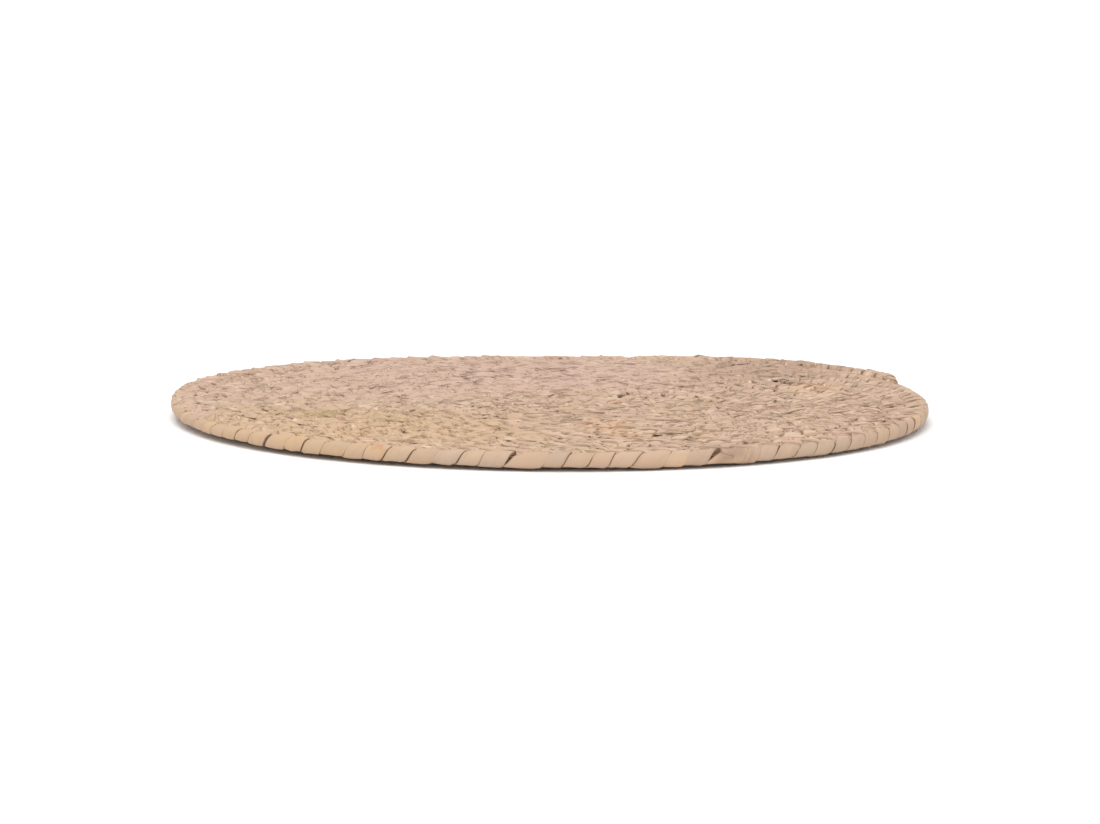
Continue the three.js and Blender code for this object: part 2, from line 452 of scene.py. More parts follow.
def strand_path(length, strand, generator):
    """Course of one strand in the straight plait, as named arrays with a value for every station.

    Its phase p is 2 pi (length / swing length + strand / 3) plus what the plait and the strand stray,
    less HURRY * sin(2 p). It lies where the figure of eight is at that phase, times its swing and rise.
    It faces along the normal of the curve at the edges of the plait, and up or down in its middle.
    """
    share = plait_width_share(length)
    row = row_at(length)
    phase = 2 * math.pi * (length / SWING_LENGTH + strand / 3)
    phase = phase + wander(length, *STRAYS["phase of the plait"], np.random.default_rng(PLAIT_SEED))
    pitch = 2 * math.pi / 3 / np.gradient(phase, length)
    own = wander(length, *STRAYS["phase"], generator) + wander(length, *STRAYS["quicker phase"], generator)
    phase = phase + own * (1 - STEADIED * smooth_step(row, *STEADY_ROWS))
    phase = phase - HURRY * np.sin(2 * phase)

    side, lift = figure_of_eight(phase)
    side_after, lift_after = figure_of_eight(phase + PHASE_STEP)
    in_last_row = smooth_step(row, *RIM_ROWS) * (side > 0)
    in_first_row = (1 - smooth_step(row, *EYE_ROWS)) * (side < 0)
    swing = SIDE_SWING + (RIM_SWING - SIDE_SWING) * in_last_row
    swing = swing * (1 - EYE_CROWDING * in_first_row) * share
    swing = swing * (1 + wander(length, *STRAYS["swing"], generator))
    rise = RISE * (LEAST_HEIGHT + (1 - LEAST_HEIGHT) * share)
    rise = rise * (1 + wander(length, *STRAYS["rise"], generator))
    loose = wander(length, *STRAYS["height"], generator)

    steps_per_length = 2 * math.pi / SWING_LENGTH / PHASE_STEP
    slope = np.arctan2((side_after - side) * swing * steps_per_length, 1)
    at_edge = smooth_step(np.abs(np.sin(phase)), *EDGE_SINES)
    normal = unit(np.stack([-(lift_after - lift) * rise, (side_after - side) * swing], 1))
    level = np.stack([0 * phase, np.sign(np.cos(phase))], 1)
    path = SimpleNamespace(share=share, row=row, phase=phase, pitch=pitch, slope=slope)
    path.at_edge, path.in_last_row = at_edge, in_last_row
    path.sideways, path.height = side * swing, lift * rise + loose
    path.facing = unit(normal * at_edge[:, None] + level * (1 - at_edge)[:, None])
    return path


sample_length = np.arange(0, 1, MM)
sample_path = strand_path(sample_length, 0, np.random.default_rng(1))
print("swing of a sample strand in mm:", round(np.ptp(sample_path.sideways) / MM, 1))

# %% [markdown]
# A strand becomes a mesh by setting a flat oval round its path at every station and joining each oval
# to the next. The ovals are as wide as the lobes are apart, so the strands lie close. They are
# narrower where the leaves are pinched together and in the gaps, and thicker where the strand squeezes
# through the middle of the plait.
#
# A strand also lies on its neighbour like a shingle, so the oval is tilted a little. Small ridges run
# along it, where one leaf of the bundle lies on the next.

# %% Ovals round the path
AROUND = 16
OVAL_SQUARENESS = 4.5
STRAND_THICKNESS = 2.6 * MM
COVER = 1.0  # width of a strand along the plait, as a share of the lobe pitch
RIM_COVER = 0.05  # how much more of it the lobes of the rim cover
LEAST_WIDTH = 0.4  # share of its width that a strand keeps however narrow the plait is
PINCH_RARITY = 1.2  # the larger, the rarer the places where a strand is pinched
PINCH_DEPTH = 0.25  # share of its width that a strand loses where it is pinched
RIM_PINCH_LOSS = 0.8  # share by which the lobes of the rim are pinched less
GAP_DEPTH = 0.5  # share of its width that a strand loses in a gap of width 1
MIDDLE_SWELL = 0.75  # how much thicker a strand is where it passes the middle of the plait
SWELL_SHARPNESS = 12  # the larger, the shorter the thicker stretch
RIDGE_HEIGHT = 0.17 * MM
SHINGLE_TILT = 0.07  # in radians
TILT_SQUARENESS = 2.2  # the larger, the closer to the edge the tilt turns round


def oval(around, squareness):
    """Points of an oval, one unit to each side: |x|^n + |y|^n = 1 with n the squareness, 2 for a circle."""
    turn = 2 * math.pi * np.arange(around) / around
    x, y = np.cos(turn), np.sin(turn)
    return np.sign(x) * np.abs(x) ** (2 / squareness), np.sign(y) * np.abs(y) ** (2 / squareness)


def strand_ovals(length, path, generator):
    """Distances across the strand and off its path, for every point of the oval at every station.

    Across is half width * x and off is half thickness * y, with x and y from the flat oval. The ridges
    stand on both flat sides, and the tilt takes across * tilt * sin(slope) off the distance.
    """
    pinched = np.clip(wander(length, *STRAYS["pinch"], generator) - PINCH_RARITY, 0, 1)
    pinched = pinched * (1 - RIM_PINCH_LOSS * path.in_last_row)
    gapes = gaping(ROW_WIDTH * path.row, angle_at(path.row))
    half_width = path.pitch / 2 * (COVER + RIM_COVER * path.in_last_row)
    half_width = half_width * (LEAST_WIDTH + (1 - LEAST_WIDTH) * path.share)
    half_width = half_width * (1 - PINCH_DEPTH * pinched) * (1 - GAP_DEPTH * gapes)
    half_width = half_width * (1 + wander(length, *STRAYS["width"], generator))
    half_thick = STRAND_THICKNESS / 2 * (LEAST_HEIGHT + (1 - LEAST_HEIGHT) * path.share)
    half_thick = half_thick * (1 + wander(length, *STRAYS["thickness"], generator))
    half_thick = half_thick * (1 + MIDDLE_SWELL * np.cos(path.phase) ** SWELL_SHARPNESS)

    x, y = oval(AROUND, OVAL_SQUARENESS)
    ridges = [wander(length, *STRAYS["ridge"], generator) for _ in range(AROUND)]
    ridges = np.sign(np.round(y, 6))[None, :] * (np.stack(ridges, 1) * RIDGE_HEIGHT)
    across = x[None, :] * half_width[:, None]
    tilt = SHINGLE_TILT + wander(length, *STRAYS["tilt"], generator)
    tilt = tilt * squared(np.cos(path.phase), TILT_SQUARENESS)
    off = y[None, :] * half_thick[:, None] + ridges - across * (np.sin(path.slope) * tilt)[:, None]
    return across, off


sample_across, _ = strand_ovals(sample_length, sample_path, np.random.default_rng(1))
print("usual width of the sample in mm:", round(np.median(np.ptp(sample_across, axis=1)) / MM, 1))

# %% [markdown]
# At the edges of the plait the leaves spread out along the edge until they touch the next strand, so
# there the oval lies along the plait. In the middle, where the strands squeeze through between each
# other, it lies square to the strand's own path.
#
# In the photograph the inner rows look pressed flatter than the last one, as if by many plates, apart
# from the rows in front. So the tops of their knobs are lowered.

# %% Skin of a strand
FLAT_FROM = 2.2 * MM  # the inner rows are pressed flat from this height over the plait's middle
FLATTENED = 0.5  # share of the height above it that they lose
UNPRESSED_ROWS = (LAST_ROW - 1.1, LAST_ROW - 0.8)  # rows over which the pressing ends
FRONT = (45 * MM, 95 * MM)  # distance in front of the eye over which it fades
FRONT_SPARED = 0.9  # share of the pressing that the front is spared


def press_flat(height, row):
    """Takes f * (height - FLAT_FROM) off every height above FLAT_FROM.

    The share f is FLATTENED in the inner rows, a tenth of that in front, and nothing in the last row.
    """
    in_front = smooth_step(-ROW_WIDTH * row * np.sin(angle_at(row)), *FRONT)
    share = FLATTENED * (1 - smooth_step(row, *UNPRESSED_ROWS)) * (1 - FRONT_SPARED * in_front)
    return height - share[:, None] * np.clip(height - FLAT_FROM, 0, None)


def strand_points(length, strand, generator):
    """Skin of a strand, one oval of points for each station, and how much each station is at the rim.

    A point that lies a across the strand and t off its path is moved along the plait by
    a * (b + (1 - b) sin^2 s), sideways by -a (1 - b) sin s cos s, and by t the way the strand faces,
    where s is the slope of the path and b is 1 at the edges of the plait and 0 in its middle.
    """
    path = strand_path(length, strand, generator)
    across, off = strand_ovals(length, path, generator)
    slope, at_edge = path.slope, path.at_edge
    flat_share = (at_edge + (1 - at_edge) * np.sin(slope) ** 2)[:, None]
    skewed = ((1 - at_edge) * np.sin(slope) * np.cos(slope))[:, None]
    along = length[:, None] + across * flat_share
    sideways = path.sideways[:, None] - across * skewed + off * path.facing[:, :1]
    height = press_flat(path.height[:, None] + off * path.facing[:, 1:], path.row)
    return lay_in_coil(along, sideways, height), path.in_last_row * at_edge


sample_points, _ = strand_points(sample_length, 0, np.random.default_rng(1))
print("thickness of the mat by the sample in mm:", round(np.ptp(sample_points[..., 2]) / MM, 1))

# %% [markdown]
# To bake its colours into pictures, each piece needs a flat layout of its skin. A strand is metres long
# and a few millimetres wide, so an automatic layout would waste most of the picture. Here the skin is
# laid out as sixteen columns side by side, each with a length of the strand from bottom to top and one
# round of it from side to side. A small margin keeps the colour of one column out of the next. The
# layout is named OFBake.

# %% Flat layout of the skin
COLUMNS = 16  # lengths of a strand's skin side by side when its colours are baked into a picture
SIDE_MARGIN = 0.02  # free share of a column's width at each side
END_MARGIN = 0.002  # free share of a column's height at each end
FREE_END = 0.12  # share of the last column that stays free for the two end faces
END_RADIUS = 0.008  # radius of an end face in the picture
END_HEIGHTS = (0.92, 0.96)  # how high up the last column the two end faces lie


def lay_out_skin(made, stations):
    """Flat layout of a strand's skin for a baked picture: lengths of it side by side, in columns.

    A point at station i and share j of the way round goes to u = (column + 1 - j) / columns and
    v = (i - first station of its column) / stations in a column, both drawn in by the margins. The two
    end faces become small circles in the free end of the last column.
    """
    lengths = stations - 1
    in_column = math.ceil(lengths / (COLUMNS - FREE_END))
    i, j = np.divmod(np.arange(lengths * AROUND), AROUND)
    column = i // in_column
    up_it = np.stack([i, i + 1, i + 1, i], 1) - (column * in_column)[:, None]
    round_it = np.stack([j, j, j + 1, j + 1], 1) / AROUND
    u = (column[:, None] + (1 - SIDE_MARGIN) - (1 - 2 * SIDE_MARGIN) * round_it) / COLUMNS
    v = END_MARGIN + (1 - 2 * END_MARGIN) * up_it / in_column
    circle = END_RADIUS * np.stack(oval(AROUND, 2), 1)
    ends = [(circle + [1 - 0.5 / COLUMNS, height]).ravel() for height in END_HEIGHTS]
    layer = made.data.uv_layers.new(name="OFBake")
    layer.data.foreach_set("uv", np.concatenate([np.stack([u, v], 2).ravel(), *ends]).astype(np.float32))


# %% [markdown]
# Now the mesh of a whole strand. Its points are numbered oval by oval, so the numbers of a face's four
# corners follow from its station and its part of the way round. The underside can't be seen and should
# lie steadily, so whatever would reach through the table is cut off level just above it.

# %% Mesh of a strand
TABLE_GAP = 0.05 * MM  # height over the table where the underside is cut off level
PATTERN_APART = 3  # distance in metres between the places where two strands read the leaf pattern
EDGE_SHARPNESS = 6  # the larger, the narrower the two edges that a strand's material can tell


def strand_mesh(name, length, strand, material, generator):
    """The skin of a strand: ovals at every station, joined by quads, closed by one face at each end."""
    points, at_rim = strand_points(length, strand, generator)
    stations = len(length)
    middle = points.mean(1)
    points = points.reshape(-1, 3)
    points[:, 2] = np.maximum(points[:, 2], TABLE_GAP)
    points += np.array(EYE)
    first = np.arange(stations - 1)[:, None] * AROUND
    here = first + np.arange(AROUND)
    beside = first + (np.arange(AROUND) + 1) % AROUND
    quads = np.stack([here, here + AROUND, beside + AROUND, beside], 2).reshape(-1, 4)
    start_face = list(range(AROUND))
    end_face = [(stations - 1) * AROUND + part for part in reversed(start_face)]
    made = mesh_object(name, points, quads.tolist() + [start_face, end_face], material)
    lay_out_skin(made, stations)

    travelled = np.concatenate([[0], np.cumsum(np.linalg.norm(np.diff(middle, axis=0), axis=1))])
    around = np.arange(AROUND) / AROUND
    edge = np.abs(np.cos(2 * math.pi * around)) ** EDGE_SHARPNESS
    point_attribute(made, "along", np.repeat(travelled + PATTERN_APART * strand, AROUND))
    point_attribute(made, "around", np.tile(around, stations))
    point_attribute(made, "rim", np.repeat(at_rim, AROUND))
    point_attribute(made, "edge", np.tile(edge, stations))
    return made


# %% [markdown]
# The leaf itself. Dried seagrass is beige to straw, matte with a soft sheen, with fine lines along the
# leaf. One leaf differs a little from the next, some patches have stayed olive or turned rust brown,
# and small brown flecks, partly stains and partly painted shade, lie where the leaves cross. Bright
# flecks are painted glints.
#
# Most of it is made with noise, which repeats nowhere and needs no picture. It would put its patches
# anywhere, though, so the patches that one notices in the photograph are listed, each with a
# place and a reach, and noise only makes their borders ragged.

# %% Leaf tones and patches
TONES = {
    "straw": (0.485, 0.33, 0.228),
    "pale": (0.57, 0.405, 0.288),
    "dull": (0.41, 0.285, 0.197),
    "pink": (0.52, 0.34, 0.255),
    "olive": (0.47, 0.35, 0.20),
    "honey": (0.60, 0.395, 0.235),
    "ashen": (0.44, 0.34, 0.255),
    # painted glint: a bright tone for flecks that stand in for light catching the leaf
    "glossy": (0.70, 0.52, 0.38),
    "rust": (0.48, 0.25, 0.12),
    "brown": (0.20, 0.115, 0.065),
    # painted shade: the dark at the bottom of the gaps
    "painted gap shade": (0.09, 0.05, 0.03),
    "deep olive": (0.37, 0.25, 0.10),
    "deep honey": (0.52, 0.35, 0.20),
    "orange": (0.60, 0.36, 0.20),
    "rose": (0.52, 0.355, 0.285),
    "umber": (0.36, 0.235, 0.165),
    # pale tone for a bleached leaf, and for a painted glint
    "bleached and glint": (0.66, 0.49, 0.36),
}
# Patches: tone, share of it, place from the middle of the mat in mm, and reach in mm.
PATCHES = (
    ("rose", 0.6, -60, 105, 115),
    ("rose", 0.7, 30, 110, 75),
    ("deep honey", 0.7, -85, -105, 90),
    ("umber", 0.6, 115, 115, 56),
    ("deep olive", 0.4, -140, -56, 18),
    ("deep olive", 0.9, -107, -58, 18),
    ("deep olive", 0.35, -75, -68, 22),
    ("orange", 0.65, 26, -82, 12),
    ("orange", 0.75, 23, -97, 12),
    ("orange", 0.6, 30, -110, 10),
    ("orange", 0.5, 135, 45, 20),
    ("umber", 1.0, 78, -165, 13),
    ("bleached and glint", 1.0, 120, 76, 8),
    # painted glint: a bright spot of light near the front rim, painted as a patch
    ("bleached and glint", 0.8, -16, -138, 7),
)
SMALL_PATCH = 30  # patches with a smaller reach, in mm, are broken up into single leaves
print("leaf tones:", len(TONES), "and patches:", len(PATCHES))

# %% [markdown]
# A material in Blender is a network of nodes. These helpers add a node and link it in one line, so the
# recipes that follow read like sums. A mark on the leaf is always made the same way: a value that varies
# over the surface, a ramp that keeps its high parts, and a share that says how strongly they show.

# %% Shader helpers


def feed(tree, socket, value):
    """Links an output to an input socket, or sets the socket to a fixed value."""
    if isinstance(value, bpy.types.NodeSocket):
        tree.links.new(value, socket)
    else:
        socket.default_value = value


def node(tree, kind, *first_inputs, **settings):
    """Adds a shader node and feeds its first inputs in their order.

    Settings name its properties, or its other inputs with the name's spaces as _.
    """
    made = tree.nodes.new(kind)
    for key, value in settings.items():
        if hasattr(made, key):
            setattr(made, key, value)
        else:
            feed(tree, made.inputs[key.replace("_", " ")], value)
    for socket, value in zip(made.inputs, first_inputs):
        feed(tree, socket, value)
    return made


def mix_colours(tree, share, first, second):
    """Mixes two colours, or colour outputs, by a share between 0 and 1."""
    made = node(tree, "ShaderNodeMix", share, data_type="RGBA", blend_type="MIX")
    feed(tree, made.inputs[6], first)
    feed(tree, made.inputs[7], second)
    return made.outputs[2]


def calculate(tree, operation, *values):
    """Result of an operation, such as ADD or MULTIPLY, on values or fixed numbers."""
    return node(tree, "ShaderNodeMath", *values, operation=operation).outputs[0]


def times(tree, first, second):
    """Product of two values, or of a value and a fixed number."""
    return calculate(tree, "MULTIPLY", first, second)


def ramp(tree, value, low, high):
    """0 at low and 1 at high and beyond, with a smooth step between. Low may be the larger of the two."""
    settings = {"interpolation_type": "SMOOTHSTEP", "From_Min": low, "From_Max": high}
    return node(tree, "ShaderNodeMapRange", value, **settings).outputs["Result"]


def noise(tree, place, scale, detail):
    """Smooth random values over a place, with the given number of grains in a metre."""
    return node(tree, "ShaderNodeTexNoise", place, Scale=scale, Detail=detail).outputs["Fac"]


def stored_value(tree, name):
    """A value that was stored for every point of the mesh."""
    return node(tree, "ShaderNodeAttribute", attribute_name=name).outputs["Fac"]


# %% [markdown]
# Marks on the leaf come in four kinds. Streaks follow the strand, because there the noise is read by how
# far along and how far round it a point lies, and is stretched. Blotches follow the mat. Patches are
# blotches at a fixed place, and thin lines are the borders between one leaf and the next.

# %% Streaks, blotches, patches and lines
PATCH_GRAIN = 90  # grains of noise in a metre along a patch's border
PATCH_RAGGED = 1.6  # how far the noise moves the border, as a share of the patch's reach
PATCH_BORDER = (2.0, 1.1)  # distance plus noise, over the reach, where a patch begins and is full


def strip_noise(tree, strip, per_metre, per_round, detail):
    """Noise that is stretched along the strand: grains in a metre along it, and in one round of it."""
    stretched = node(tree, "ShaderNodeMapping", strip, Scale=(per_metre, per_round, 1))
    return noise(tree, stretched.outputs["Vector"], 1.0, detail)


def streaks(tree, strip, per_metre, per_round, low, high, share, detail=1.0):
    """Streaks along the strand: stretched noise, ramped from low to high, times a share."""
    return times(tree, ramp(tree, strip_noise(tree, strip, per_metre, per_round, detail), low, high), share)


def blotches(tree, place, per_metre, detail, low, high, share):
    """Blotches over the mat: noise, ramped from low to high, times a share."""
    return times(tree, ramp(tree, noise(tree, place, per_metre, detail), low, high), share)


def distance_from(tree, place, x, y):
    """Distance of a place from a spot on the upper side of the mat."""
    away = node(tree, "ShaderNodeVectorMath", place, (x, y, THICKNESS), operation="DISTANCE")
    return away.outputs["Value"]


def patch(tree, place, x, y, reach):
    """1 at a spot of the mat and 0 far from it: (distance + ragged * reach * noise) / reach, ramped."""
    grains = noise(tree, place, PATCH_GRAIN, 3)
    ragged = calculate(tree, "MULTIPLY_ADD", grains, PATCH_RAGGED * reach, distance_from(tree, place, x, y))
    return ramp(tree, ragged, PATCH_BORDER[0] * reach, PATCH_BORDER[1] * reach)


def thin_line(tree, value, middle, half_width):
    """1 where a value passes its middle, 0 a half width away: thin lines like contour lines on a map."""
    away = calculate(tree, "ABSOLUTE", calculate(tree, "SUBTRACT", value, middle))
    return ramp(tree, away, half_width, 0)


print("a patch of 20 mm ends about", 20 * (PATCH_BORDER[0] - PATCH_RAGGED / 2), "mm from its middle")

# %% [markdown]
# The ground colour. On the upper side a strand shows several tones side by side, with olive blotches
# over the mat. Where it turns over the rim it looks plainer, and each lobe is nearly of one tone, so the
# streaks are much longer round it there. The value "rim" fades from one to the other.

# %% Ground colour
# Streaks laid over straw: tone, grains in a metre and in a round, where the ramp starts and ends, share.
STRAND_STREAKS = (
    ("pale", 24, 2, 0.44, 0.62, 1.0),
    ("dull", 21, 3, 0.54, 0.66, 0.8),
    ("pink", 6, 2, 0.56, 0.64, 1.0),
)
LOBE_STREAKS = (
    ("pale", 31, 0.3, 0.4, 0.6, 0.35),
    ("honey", 27, 0.4, 0.5, 0.6, 0.65),
    ("ashen", 37, 0.4, 0.52, 0.6, 0.6),
    ("dull", 23, 0.4, 0.54, 0.62, 0.5),
)
OLIVE_BLOTCHES = (22, 4, 0.58, 0.74, 0.6)  # grains in a metre, detail, start and end of the ramp, share
LOBE_DULLNESS = 0.15  # share of the dull tone in all the lobes of the rim
# painted shade: the lobes on the right of the front rim are made duller, where the light falls on them less
RIGHT_RIM_SHADE = (130 * MM, -125 * MM, 70 * MM)  # place and reach of the patch where they are duller
RIGHT_RIM_SHADE_SHARE = 0.5


def streaked(tree, tones, strip, table):
    """Straw with the streaks of a table laid over it, one after another."""
    colour = tones["straw"]
    for tone, *streak in table:
        colour = mix_colours(tree, streaks(tree, strip, *streak), colour, tones[tone])
    return colour


def ground_colour(tree, tones, place, strip, rim):
    """The strand's own colours on the mat, and the plainer ones of the lobes at the rim, with painted shade
    on the right of the front rim.
    """
    colour = streaked(tree, tones, strip, STRAND_STREAKS)
    colour = mix_colours(tree, blotches(tree, place, *OLIVE_BLOTCHES), colour, tones["olive"])
    lobe = streaked(tree, tones, strip, LOBE_STREAKS)
    lobe = mix_colours(tree, LOBE_DULLNESS, lobe, tones["dull"])
    painted_shade = times(tree, patch(tree, place, *RIGHT_RIM_SHADE), RIGHT_RIM_SHADE_SHARE)
    lobe = mix_colours(tree, painted_shade, lobe, tones["dull"])
    return mix_colours(tree, rim, colour, lobe)


print("tones in a strand:", 2 + len(STRAND_STREAKS), "and in a lobe:", 1 + len(LOBE_STREAKS))

# %% [markdown]
# Over the ground colour come the patches, then painted glints and brown marks that are partly painted shade,
# rust, and the painted shade of the gaps.
# The small marks hardly show on the rim lobes, so most of them are multiplied by a value that is
# low there.

# %% Patches, marks and gaps
BROKEN = (45, 4, 0.36, 0.54, 1.0, 2.0)  # streaks that break up the small patches, with their detail
# Marks that follow the strand, as in the tables of streaks, with the detail of the noise at the end.
MARKS_ALONG = (
    # painted glints: bright flecks along the strand, where light would catch the leaf
    ("glossy", 70, 9, 0.58, 0.76, 1.0, 3.0),
    # brown flecks along the strand: partly stains, partly painted shade in the small slits where leaves cross
    ("brown", 90, 12, 0.6, 0.76, 1.0, 3.0),
)
# Marks that follow the mat: tone, grains in a metre, detail, where the ramp starts and ends, share.
MARKS_BY_PLACE = (
    ("dull", 130, 2, 0.5, 0.68, 0.3),
    # brown flecks over the mat: partly stains, partly painted shade in the small slits where leaves cross
    ("brown", 260, 2, 0.67, 0.76, 1.0),
)
RUST_BLOTCHES = (48, 3, 0.7, 0.77, 1.0)
# painted shade in the gaps: where it begins and is full, and how strongly it shows
GAP_BORDER = (0.55, 0.3)  # shares of a gap's reach where its dark begins and is full
GAP_SHADE_SHARE = 0.8


def with_patches(tree, tones, place, strip, colour):
    """A colour with the patches laid over it, the small ones broken up by streaks."""
    broken = streaks(tree, strip, *BROKEN)
    for tone, share, x, y, reach in PATCHES:
        where = times(tree, patch(tree, place, x * MM, y * MM, reach * MM), share)
        if reach < SMALL_PATCH:
            where = times(tree, where, broken)
        colour = mix_colours(tree, where, colour, tones[tone])
    return colour


def with_marks(tree, tones, place, strip, on_top, colour):
    """A colour with the small marks laid over it, painted glints and brown flecks that are partly painted
    shade, which fade on the rim lobes, and with rust.
    """
    for tone, *streak in MARKS_ALONG:
        colour = mix_colours(tree, times(tree, streaks(tree, strip, *streak), on_top), colour, tones[tone])
    for tone, *blotch in MARKS_BY_PLACE:
        colour = mix_colours(tree, times(tree, blotches(tree, place, *blotch), on_top), colour, tones[tone])
    return mix_colours(tree, blotches(tree, place, *RUST_BLOTCHES), colour, tones["rust"])


def with_gaps(tree, tones, place, colour):
    """Painted shade: a colour that darkens towards the middle of every gap, where the real hole lies in
    shade.
    """
    for radius, degrees, width, reach in GAPS:
        x, y = spot(radius, degrees)
        away = distance_from(tree, place, EYE.x + x, EYE.y + y)
        inside = ramp(tree, away, GAP_BORDER[0] * reach, GAP_BORDER[1] * reach)
        colour = mix_colours(tree, times(tree, inside, GAP_SHADE_SHARE * min(width, 1)), colour, tones["painted gap shade"])
    return colour


# %% [markdown]
# Last come the lines: the borders of single leaves, the edges of a strand, and the seams between the
# rim lobes, all in brown. The brown at the edges and seams is partly browned leaf and partly painted
# shade where one strand meets the next. The leaf borders also go into the bump, together with fine
# fibres, so that the light catches them. Bump is enough there, because these lines are finer than half
# a millimetre.

# %% Leaf material
LEAF_BORDERS = (30, 5, 2.0)  # grains in a metre and in a round, and detail, of the noise they follow
LEAF_BORDER_WIDTH = 0.027  # how far from its middle value the noise may be on such a border
LEAF_BORDER_SHARE = 0.62
# brown at the edges of a strand and in the seams of the rim lobes: partly browned leaf, partly painted shade
# where strands meet
STRAND_EDGE = (0.8, 1.0)  # where the brown at the edges of a strand starts and is full
STRAND_EDGE_SHARE = 0.25
LOBE_SEAM = (0.3, 0.52)  # the same between the lobes of the rim, where it is wider
LOBE_SEAM_SHARE = 0.85
FIBRES = (120, 26, 4.0)  # grains and detail of the noise that stands for the fine fibres
FIBRE_HEIGHT = 0.25 * MM
RIM_MARKS = 0.12  # share of the small marks that is left on the rim lobes
# painted shade: the leaves inside the plait get a darker copy of the leaf material, because they lie in shade
SHADED = 0.93  # brightness of the leaves inside the plait


def strip_place(tree):
    """Place on the strand: how far along it, and how far round it."""
    along, around = stored_value(tree, "along"), stored_value(tree, "around")
    return node(tree, "ShaderNodeCombineXYZ", along, around).outputs["Vector"]


def leaf_relief(tree, strip, borders):
    """Normals that stand fine fibres up and let the leaf borders sink in: fibres - borders, as bump."""
    height = calculate(tree, "SUBTRACT", strip_noise(tree, strip, *FIBRES), borders)
    bump = node(tree, "ShaderNodeBump", Strength=0.6, Distance=FIBRE_HEIGHT, Height=height)
    return bump.outputs["Normal"]


def leaf_material(name, shade=1.0):
    """Matte dried leaf: tones along the strand, patches and marks over the mat, fine lines as bump."""
    material = bpy.data.materials.new(name)
    material.use_nodes = True
    tree = material.node_tree
    tones = {tone: (*(part * shade for part in parts), 1) for tone, parts in TONES.items()}
    place = node(tree, "ShaderNodeTexCoord").outputs["Object"]
    strip = strip_place(tree)
    rim, edge = stored_value(tree, "rim"), stored_value(tree, "edge")
    on_top = node(tree, "ShaderNodeMapRange", rim, To_Min=1.0, To_Max=RIM_MARKS).outputs["Result"]

    colour = ground_colour(tree, tones, place, strip, rim)
    colour = with_patches(tree, tones, place, strip, colour)
    colour = with_marks(tree, tones, place, strip, on_top, colour)
    colour = with_gaps(tree, tones, place, colour)
    borders = thin_line(tree, strip_noise(tree, strip, *LEAF_BORDERS), 0.5, LEAF_BORDER_WIDTH)
    borders = times(tree, borders, on_top)
    strand_edges = ramp(tree, edge, *STRAND_EDGE)
    seams = times(tree, ramp(tree, edge, *LOBE_SEAM), rim)
    lines = ((borders, LEAF_BORDER_SHARE), (strand_edges, STRAND_EDGE_SHARE), (seams, LOBE_SEAM_SHARE))
    for line, share in lines:
        colour = mix_colours(tree, times(tree, line, share), colour, tones["brown"])

    shader = tree.nodes["Principled BSDF"]
    tree.links.new(colour, shader.inputs["Base Color"])
    tree.links.new(leaf_relief(tree, strip, borders), shader.inputs["Normal"])
    shader.inputs["Roughness"].default_value = 0.72
    shader.inputs["Specular IOR Level"].default_value = 0.35
    return material


leaf = leaf_material("dried_leaf")
shaded_leaf = leaf_material("shaded_leaf", SHADED)
print("materials:", leaf.name, shaded_leaf.name)

# %% [markdown]
# Now the three strands are laid along the coil. Leaves are short, so a real strand is pieced together
# on the way. Here each one is made in two lengths, one for the inner rows and one for the outer rows,
# which are divided more finely because their lobes stand out against the table. Close round the eye
# the coil is tight, and the stations lie closest there.

# %% Three strands
STRANDS = ("first", "second", "third")
SEAM_ROW = 12.6  # the row where the first length of each strand ends
FINE_LENGTH = 90 * MM  # length of plait round the eye with the finest steps
FINE_STEP = 0.7 * MM
INNER_STEP = 1.25 * MM
OUTER_STEP = 1.0 * MM
TIP_CUT = 3 * MM  # the strands end this far before the tip of the plait
FIRST_SEED = 100


def stations_between(start, end, step):
    """Even stations from one length to another."""
    return np.linspace(start, end, int(round((end - start) / step)) + 1)


def make_strands():
    """Two pieces for each strand. They draw the same random numbers, so one goes on as the other ends."""
    made = []
    seam = float(length_at(SEAM_ROW))
    near_eye = stations_between(0, FINE_LENGTH, FINE_STEP)
    inner = np.concatenate([near_eye, stations_between(FINE_LENGTH, seam, INNER_STEP)[1:]])
    outer = stations_between(seam, PLAIT_LENGTH - TIP_CUT, OUTER_STEP)
    for strand, name in enumerate(STRANDS):
        for part, stations in (("inner", inner), ("outer", outer)):
            generator = np.random.default_rng(FIRST_SEED + strand)
            made.append(strand_mesh(f"{name}_strand_{part}", stations, strand, leaf, generator))
    return made


strands = make_strands()
print("faces:", [len(strand.data.polygons) for strand in strands])

# %% [markdown]
# Between the strands one can look a little way into the plait and sees more leaves. One layer through
# the middle of the mat, about 4 mm thick, stands for them. It is a sheet with the mat's round form, and
# it keeps the gaps from showing the table. Its leaf is a darker copy, painted shade for leaves that lie
# inside.

# %% Inner leaves
RINGS, SPOKES = 60, 300
INNER_HALF = 2.15 * MM  # half the thickness of the layer
INNER_ROUNDNESS = 30  # the larger, the closer to the edge the layer starts to get thinner
INNER_EDGE = 3 * MM  # how far the layer reaches beyond the middle of the last row
INNER_GAP_DEPTH = 0.7  # share of its thickness that it loses in a gap of width 1


def disc_faces(rings, spokes):
    """Faces of a closed disc: quads between rings and at the edge, and triangles round its two middles.

    The points are numbered ring by ring, first on the upper side and then on the lower side, and the
    middles of the two sides come last.
    """
    side = rings * spokes
    i, j = np.meshgrid(np.arange(rings - 1), np.arange(spokes), indexing="ij")
    here, beside = i * spokes + j, i * spokes + (j + 1) % spokes
    top = np.stack([here, here + spokes, beside + spokes, beside], 2).reshape(-1, 4)
    here = np.arange(spokes)
    beside = (here + 1) % spokes
    edge = np.stack([here, here + side, beside + side, beside], 1) + side - spokes
    above = np.stack([0 * here + 2 * side, here, beside], 1)
    below = np.stack([0 * here + 2 * side + 1, beside + side, here + side], 1)
    return [face for part in (top, top[:, ::-1] + side, edge, above, below) for face in part.tolist()]


